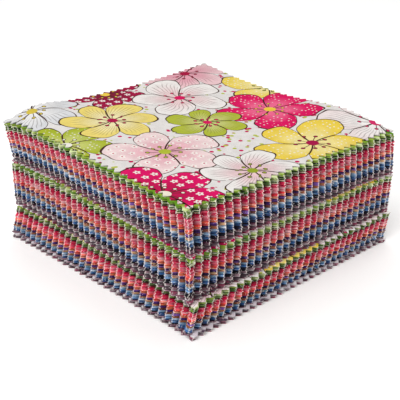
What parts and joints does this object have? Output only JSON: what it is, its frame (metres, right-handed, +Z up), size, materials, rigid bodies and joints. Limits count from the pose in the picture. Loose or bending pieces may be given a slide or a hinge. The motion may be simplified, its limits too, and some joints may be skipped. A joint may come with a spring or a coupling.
{
  "type": "fabric bundle",
  "caption": "Stacked packs of pinked cotton patchwork squares, each pack running through the same colours, with a floral square lying loose on top.",
  "frame": {"origin": "middle of the bundle's box, on the surface that it rests on", "axes": "+Z up through the stack; -Y and -X are the two sides that meet at the front corner"},
  "size_m": [0.1316, 0.13, 0.065],
  "materials": {
    "floral_cotton": "matt printed plain-weave cotton",
    "green_cotton": "matt printed plain-weave cotton with pinked edges",
    "red_cotton": "matt printed plain-weave cotton with pinked edges",
    "coral_cotton": "matt printed plain-weave cotton with pinked edges",
    "purple_cotton": "matt printed plain-weave cotton with pinked edges",
    "blue_cotton": "matt printed plain-weave cotton with pinked edges",
    "mauve_cotton": "matt printed plain-weave cotton with pinked edges"
  },
  "bodies": {
    "root": {"lower_pack_ply_1": "mauve_cotton", "lower_pack_ply_2": "blue_cotton", "lower_pack_ply_3": "coral_cotton", "lower_pack_ply_4": "red_cotton", "lower_pack_ply_5": "green_cotton", "middle_pack_ply_1": "mauve_cotton", "middle_pack_ply_2": "blue_cotton", "middle_pack_ply_3": "purple_cotton", "middle_pack_ply_4": "coral_cotton", "middle_pack_ply_5": "red_cotton", "middle_pack_ply_6": "green_cotton", "upper_pack_ply_1": "mauve_cotton", "upper_pack_ply_2": "blue_cotton", "upper_pack_ply_3": "purple_cotton", "upper_pack_ply_4": "coral_cotton", "upper_pack_ply_5": "red_cotton", "upper_pack_ply_6": "green_cotton", "top_square": "floral_cotton"}
  },
  "joints": []
}
